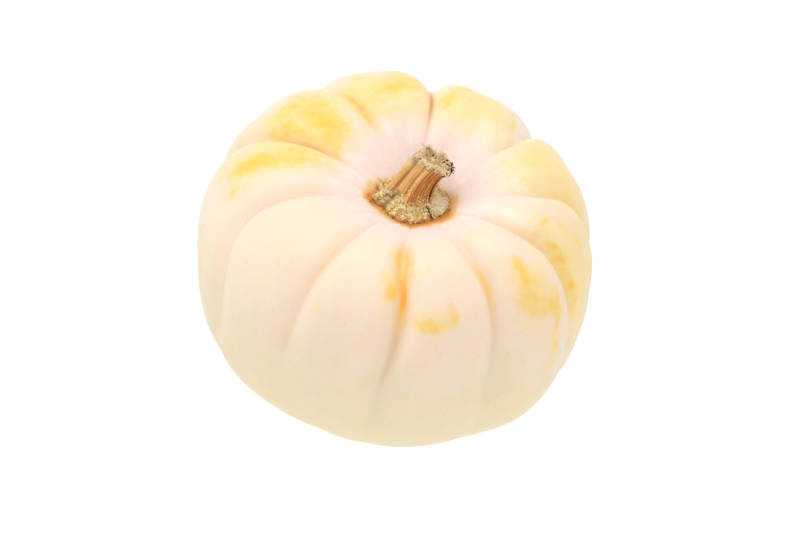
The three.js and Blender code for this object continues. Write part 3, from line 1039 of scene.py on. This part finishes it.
# %% Stem finish
SHAFT_ORANGE = colour(222, 158, 86)
SHAFT_BROWN = colour(178, 110, 48)
SHAFT_PAINTED_LIGHT = colour(240, 186, 114)
RIDGE_STRAW = colour(240, 200, 136)
CRUST_STRAW = colour(232, 202, 128)
CRUST_OLIVE = colour(196, 162, 94)
CRUST_PALE = colour(250, 240, 208)
CRUST_DARK_AND_SHADE = colour(116, 84, 44)
CORK_PALE = colour(226, 202, 162)
CORK_TAN = colour(186, 146, 100)
PIT_SHADE_AND_DARK_FIBRE = colour(64, 46, 32)
RIM_BROWN = colour(202, 130, 78)
DARK_BROWN_AND_GAP_SHADE = colour(128, 84, 42)
THREAD_FLOW = (13, 13, 2)
LINE_FLOW = (10, 10, 1.2)
STEM_SHINE = 0.25
DUSTY_SHINE = 0.2
STEM_BUMP = 0.4


def shaft_paint(tree, threads, speckle):
    paint = glaze(tree, SHAFT_BROWN, SHAFT_ORANGE, threads, 0.38, 0.64)
    # Painted light: the shaft's left side, where the light falls, is lighter.
    lit = ragged(tree, "lit_side", (threads, 1.8))
    paint = glaze(tree, paint, SHAFT_PAINTED_LIGHT, lit, 0.05, 0.95, 0.0, 0.85)
    ridge = ragged(tree, "ridges", (speckle, 0.5), (threads, 0.8))
    paint = glaze(tree, paint, RIDGE_STRAW, ridge, 0.1, 1.0, 0.0, 0.8)
    lines = flow_noise(tree, "stem_flow", LINE_FLOW)
    paint = glaze(tree, paint, DARK_BROWN_AND_GAP_SHADE, lines, 0.34, 0.43, 0.55, 0.0)
    dust = times(tree, add_range(tree, speckle, 0.62, 0.7), 0.6)
    return layer(tree, dust, paint, CRUST_PALE)


def crust_paint(tree, speckle, blotch):
    sand = glaze(tree, CRUST_OLIVE, CRUST_STRAW, blotch, 0.36, 0.56)
    # Painted shade darkens the crust's hollows and the cracks between its grains.
    hollow = ragged(tree, "painted_shade_in_hollows", (blotch, 0.6))
    sand = glaze(tree, sand, CRUST_DARK_AND_SHADE, hollow, 0.1, 0.5, 0.0, 0.7)
    sand = glaze(tree, sand, CRUST_PALE, speckle, 0.53, 0.62, 0.0, 0.9)
    sand = glaze(tree, sand, CRUST_DARK_AND_SHADE, speckle, 0.36, 0.44, 0.75, 0.0)
    sand = glaze(tree, sand, CRUST_DARK_AND_SHADE, read_mask(tree, "grains"), -0.1, 0.3, 0.4, 0.0)
    # The right lobe is paler, partly in its own colour and partly painted light against the stem's
    # shadow.
    pale_and_painted_light_side = ragged(tree, "pale_and_painted_light_side", (speckle, 0.9))
    sand = glaze(tree, sand, CRUST_PALE, pale_and_painted_light_side, 0.2, 0.8, 0.0, 0.9)
    low = ragged(tree, "to_skin", (blotch, 1.6), (speckle, 1.2))
    return glaze(tree, sand, RIM_BROWN, low, 0.5, 1.4, 0.8, 0.0)


def cork_paint(tree, speckle, blotch):
    cork = glaze(tree, CORK_TAN, CORK_PALE, blotch, 0.4, 0.6)
    cork = glaze(tree, cork, SHAFT_BROWN, speckle, 0.32, 0.42, 0.6, 0.0)
    # Painted shade darkens the pits of the cork.
    return glaze(tree, cork, PIT_SHADE_AND_DARK_FIBRE, read_mask(tree, "pits"), 0.1, 0.55)


def stem_finish():
    material, tree, shader = new_finish("dry_ridged_stem")
    place = read_place(tree)
    threads = flow_noise(tree, "stem_flow", THREAD_FLOW, detail=4)
    speckle = add_noise(tree, place, 1800, detail=3, roughness=0.7)
    blotch = add_noise(tree, place, 620, detail=3)
    paint = shaft_paint(tree, threads, speckle)
    crusted = ragged(tree, "crust", (blotch, 0.6), (speckle, 1.3))
    sand = crust_paint(tree, speckle, blotch)
    paint = glaze(tree, paint, sand, crusted, 0.25, 0.7)
    cut = ragged(tree, "cut_end", (blotch, 0.5))
    cork = cork_paint(tree, speckle, blotch)
    paint = glaze(tree, paint, cork, cut, 0.3, 0.7)
    # Painted shade darkens the gaps between the crust's lobes and beside the shaft's ridges.
    gap = ragged(tree, "gaps", (blotch, 0.5))
    paint = glaze(tree, paint, DARK_BROWN_AND_GAP_SHADE, gap, 0.25, 0.9, 0.0, 0.75)
    # Painted shade darkens the furrow and the crack.
    paint = layer(tree, read_mask(tree, "furrow"), paint, PIT_SHADE_AND_DARK_FIBRE)
    plug(tree, paint, shader.inputs["Base Color"])
    plug(tree, add_range(tree, threads, 0.3, 0.7, 0.7, 0.95), shader.inputs["Roughness"])
    shader.inputs["Specular IOR Level"].default_value = STEM_SHINE
    height = add_math(tree, "ADD", speckle, threads)
    plug(tree, add_bump(tree, height, STEM_BUMP, BUMP_DISTANCE), shader.inputs["Normal"])
    return material


stem.data.materials.append(stem_finish())
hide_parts("stem")
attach(stem, "root")
print("stem is dressed")

# %% [markdown]
# ## Sand on the crust
#
# Loose corky grains stand on the crust round the base and on the hanging lip of the cut end, and
# brown ones lie on the skin in front of it. They could be scattered by a particle system. Here one
# small rough ball is set on each of many points of the mesh, drawn from a fixed sequence so that every
# run gives the same sand, and the balls of a piece are one mesh.

# %% Sand grains
CRUST_GRAINS = 1700
FRINGE_GRAINS = 900
CRUST_GRAIN_SIZES = (0.06 * MM, 0.17 * MM)
FRINGE_GRAIN_SIZES = (0.1 * MM, 0.26 * MM)
CRUST_TONES = (0, 1)
FRINGE_TONES = (-0.9, 0.3)
GRAIN_SPREAD = 0.25 * MM
GRAIN_STANDING = 0.3
GRAIN_WOBBLE = (0.7, 1.25)
GRAIN_SEED = 7
LIP_SIDE = (280, 60)
LIP_CHANCE = 0.5
DUST_CHANCE = 0.04
CRUST_EDGE_CHANCE = 0.4
CRUST_EDGE_SPREAD = 1.4 * MM
RIGHT_LOBE = (330, 35)
RIGHT_LOBE_CHANCE = 2
OFF_SKIN = (0.5 * MM, 1.0 * MM)
HOLLOW_CLEARING = 1.5
PALER_AND_PAINTED_LIGHT_LOBE = (335, 30)
PALER_BY = 0.6
FRONT_SIDE = (255, 45)
LEFT_FRINGE_SIDE = (185, 30)
LEFT_FRINGE_CHANCE = 0.2
FRINGE_FADE = (0.4 * MM, 1.3 * MM)


def grain_shape():
    deselect_all()
    bpy.ops.mesh.primitive_ico_sphere_add(subdivisions=1, radius=1)
    ball = bpy.context.object
    corners = vertex_places(ball)
    faces = np.array([list(face.vertices) for face in ball.data.polygons])
    bpy.ops.object.delete()
    return corners, faces


def joined_piece(name, places, faces):
    mesh = bpy.data.meshes.new(name)
    mesh.from_pydata(places.tolist(), [], faces.tolist())
    piece = bpy.data.objects.new(name, mesh)
    bpy.context.collection.objects.link(piece)
    return piece


def crust_chance():
    lip = cut_end * facing(stem_turn, *LIP_SIDE)
    crust_edge = bell(along - crust_top, CRUST_EDGE_SPREAD)
    dust = shaft * (DUST_CHANCE + CRUST_EDGE_CHANCE * crust_edge)
    right_lobe = 1 + RIGHT_LOBE_CHANCE * facing(stem_turn, *RIGHT_LOBE)
    chance = (crust * right_lobe + LIP_CHANCE * lip + dust) * ease(to_skin, *OFF_SKIN)
    hollow = np.maximum(np.maximum(furrow, crack), lobe_gaps)
    return chance * np.clip(1 - HOLLOW_CLEARING * hollow, 0, 1)


def fringe_chance():
    in_front = facing(stem_side, *FRONT_SIDE)
    in_front += LEFT_FRINGE_CHANCE * facing(stem_side, *LEFT_FRINGE_SIDE)
    return in_front * (1 - ease(to_stem, *FRINGE_FADE))


def scatter_grains(name, piece, chance, count, grain_sizes, tones, paler, drawing):
    chosen = drawing.choice(len(chance), size=count, p=chance / chance.sum())
    normals = vertex_normals(piece)[chosen]
    sizes = drawing.uniform(*grain_sizes, count)[:, None]
    shift = drawing.normal(0, GRAIN_SPREAD, (count, 3))
    shift -= normals * (normals * shift).sum(axis=1)[:, None]
    middles = vertex_places(piece)[chosen] + shift + normals * sizes * GRAIN_STANDING
    corners, faces = grain_shape()
    wobble = drawing.uniform(*GRAIN_WOBBLE, (count, *corners.shape))
    places = middles[:, None, :] + corners * wobble * sizes[:, :, None]
    rings = faces[None, :, :] + np.arange(count)[:, None, None] * len(corners)
    grains_piece = joined_piece(name, places.reshape(-1, 3), rings.reshape(-1, 3))
    tone = drawing.uniform(*tones, count) + paler[chosen]
    store(grains_piece, "tone", np.repeat(tone, len(corners)))
    return grains_piece


def sand_finish():
    material, tree, shader = new_finish("corky_sand")
    speckle = add_noise(tree, read_place(tree), 1500)
    tone = ragged(tree, "tone", (speckle, 0.4))
    paint = glaze(tree, DARK_BROWN_AND_GAP_SHADE, RIM_BROWN, tone, -1.0, -0.4)
    paint = glaze(tree, paint, CRUST_OLIVE, tone, -0.35, 0.0)
    paint = glaze(tree, paint, CRUST_STRAW, tone, 0.05, 0.35)
    paint = glaze(tree, paint, CRUST_PALE, tone, 0.5, 0.8)
    plug(tree, paint, shader.inputs["Base Color"])
    plug(tree, add_range(tree, tone, 0.0, 1.0, 0.95, 0.75), shader.inputs["Roughness"])
    shader.inputs["Specular IOR Level"].default_value = DUSTY_SHINE
    return material


grain_drawing = np.random.default_rng(GRAIN_SEED)
corky_sand = sand_finish()
# The grains on the right lobe are paler, partly painted light against the stem's shadow.
right_lobe_paler_and_lit = PALER_BY * facing(stem_turn, *PALER_AND_PAINTED_LIGHT_LOBE)
none_paler = np.zeros(len(body_places))
sand = scatter_grains(
    "crust_grains", stem, crust_chance(), CRUST_GRAINS, CRUST_GRAIN_SIZES, CRUST_TONES,
    right_lobe_paler_and_lit, grain_drawing)
fringe = scatter_grains(
    "fringe_grains", body, fringe_chance(), FRINGE_GRAINS, FRINGE_GRAIN_SIZES, FRINGE_TONES,
    none_paler, grain_drawing)
for sand_piece in (sand, fringe):
    sand_piece.data.materials.append(corky_sand)
    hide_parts("stem")
    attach(sand_piece, "root")
print(CRUST_GRAINS, "grains lie on the stem and", FRINGE_GRAINS, "on the skin beside it")

# %% [markdown]
# ## Frayed fibres at the cut end
#
# Where the stem was torn off, short dark fibres stick out of the right rim of the cut end, and a few
# pale ones out of the left. Each is a short curve with a thin bevel, turned into a mesh. A hair system
# could make them too, but these few are easier to place one by one.

# %% Frayed fibres
DARK_FIBRES = {"count": 40, "turn": 0, "spread": 30, "length": 1.0 * MM, "tone": 0.0}
PALE_FIBRES = {"count": 16, "turn": 150, "spread": 60, "length": 1.1 * MM, "tone": 1.0}
FIBRE_RADIUS = 0.13 * MM
FIBRE_TIP_SHARE = 0.4
FIBRE_ROOT_SHARE = 0.2
# The reach of the four handles from the root to the tip, as shares of the length.
FIBRE_HANDLES = (0.2, 0.4, 0.3, 0.2)
FIBRE_STEPS = 4
FIBRE_LENGTHS = (0.5, 1.1)
FIBRE_STRAYING = 0.45
FIBRE_BOW = 0.2
FIBRE_SEED = 11
RIM_LEVEL = 12.8 * MM
RIM_SPREAD = 0.6 * MM
RIM_EDGE = (3 * MM, 4 * MM)


def add_fibre(root, direction, length, bow):
    bpy.ops.curve.primitive_bezier_curve_add()
    curve = bpy.context.object
    curve.matrix_world = Matrix()
    start, tip = curve.data.splines[0].bezier_points
    below_root, above_root, below_tip, above_tip = FIBRE_HANDLES
    start.co = root - direction * FIBRE_ROOT_SHARE * length
    start.handle_left = start.co - direction * below_root * length
    start.handle_right = start.co + direction * above_root * length
    tip.co = root + direction * length + bow
    tip.handle_left = tip.co - direction * below_tip * length - bow
    tip.handle_right = tip.co + direction * above_tip * length
    tip.radius = FIBRE_TIP_SHARE
    curve.data.resolution_u = FIBRE_STEPS
    curve.data.bevel_depth = FIBRE_RADIUS
    curve.data.bevel_resolution = 0
    curve.data.use_fill_caps = True
    return curve


def add_fibre_bundle(name, bundle, drawing):
    at_rim = bell(along - RIM_LEVEL, RIM_SPREAD) * ease(off_line, *RIM_EDGE)
    at_rim *= facing(stem_turn, bundle["turn"], bundle["spread"])
    chance = at_rim / at_rim.sum()
    chosen = drawing.choice(len(at_rim), size=bundle["count"], replace=False, p=chance)
    normals = vertex_normals(stem)
    curves = []
    for index in chosen:
        direction = Vector(normals[index] + drawing.normal(0, FIBRE_STRAYING, 3)).normalized()
        bow = Vector(drawing.normal(0, FIBRE_BOW, 3)) * bundle["length"]
        length = bundle["length"] * drawing.uniform(*FIBRE_LENGTHS)
        curves.append(add_fibre(Vector(stem_places[index]), direction, length, bow))
    deselect_all()
    for curve in curves:
        curve.select_set(True)
    bpy.context.view_layer.objects.active = curves[0]
    bpy.ops.object.convert(target="MESH")
    bpy.ops.object.join()
    fibres_piece = bpy.context.object
    fibres_piece.name = name
    bpy.ops.object.shade_smooth()
    store(fibres_piece, "tone", np.full(len(fibres_piece.data.vertices), bundle["tone"]))
    return fibres_piece


def fibre_finish():
    material, tree, shader = new_finish("frayed_fibre")
    blotch = add_noise(tree, read_place(tree), 900, detail=2)
    tone = ragged(tree, "tone", (blotch, 0.7))
    paint = glaze(tree, PIT_SHADE_AND_DARK_FIBRE, CORK_PALE, tone, 0.1, 0.9)
    plug(tree, paint, shader.inputs["Base Color"])
    set_inputs(shader, {"Roughness": 0.8, "Specular IOR Level": DUSTY_SHINE})
    return material


fibre_drawing = np.random.default_rng(FIBRE_SEED)
frayed_finish = fibre_finish()
for fibre_name, fibre_bundle in (("dark_fibres", DARK_FIBRES), ("pale_fibres", PALE_FIBRES)):
    bundle_piece = add_fibre_bundle(fibre_name, fibre_bundle, fibre_drawing)
    bundle_piece.data.materials.append(frayed_finish)
    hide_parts("stem")
    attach(bundle_piece, "root")
    print(fibre_name, "has", len(bundle_piece.data.polygons), "faces")
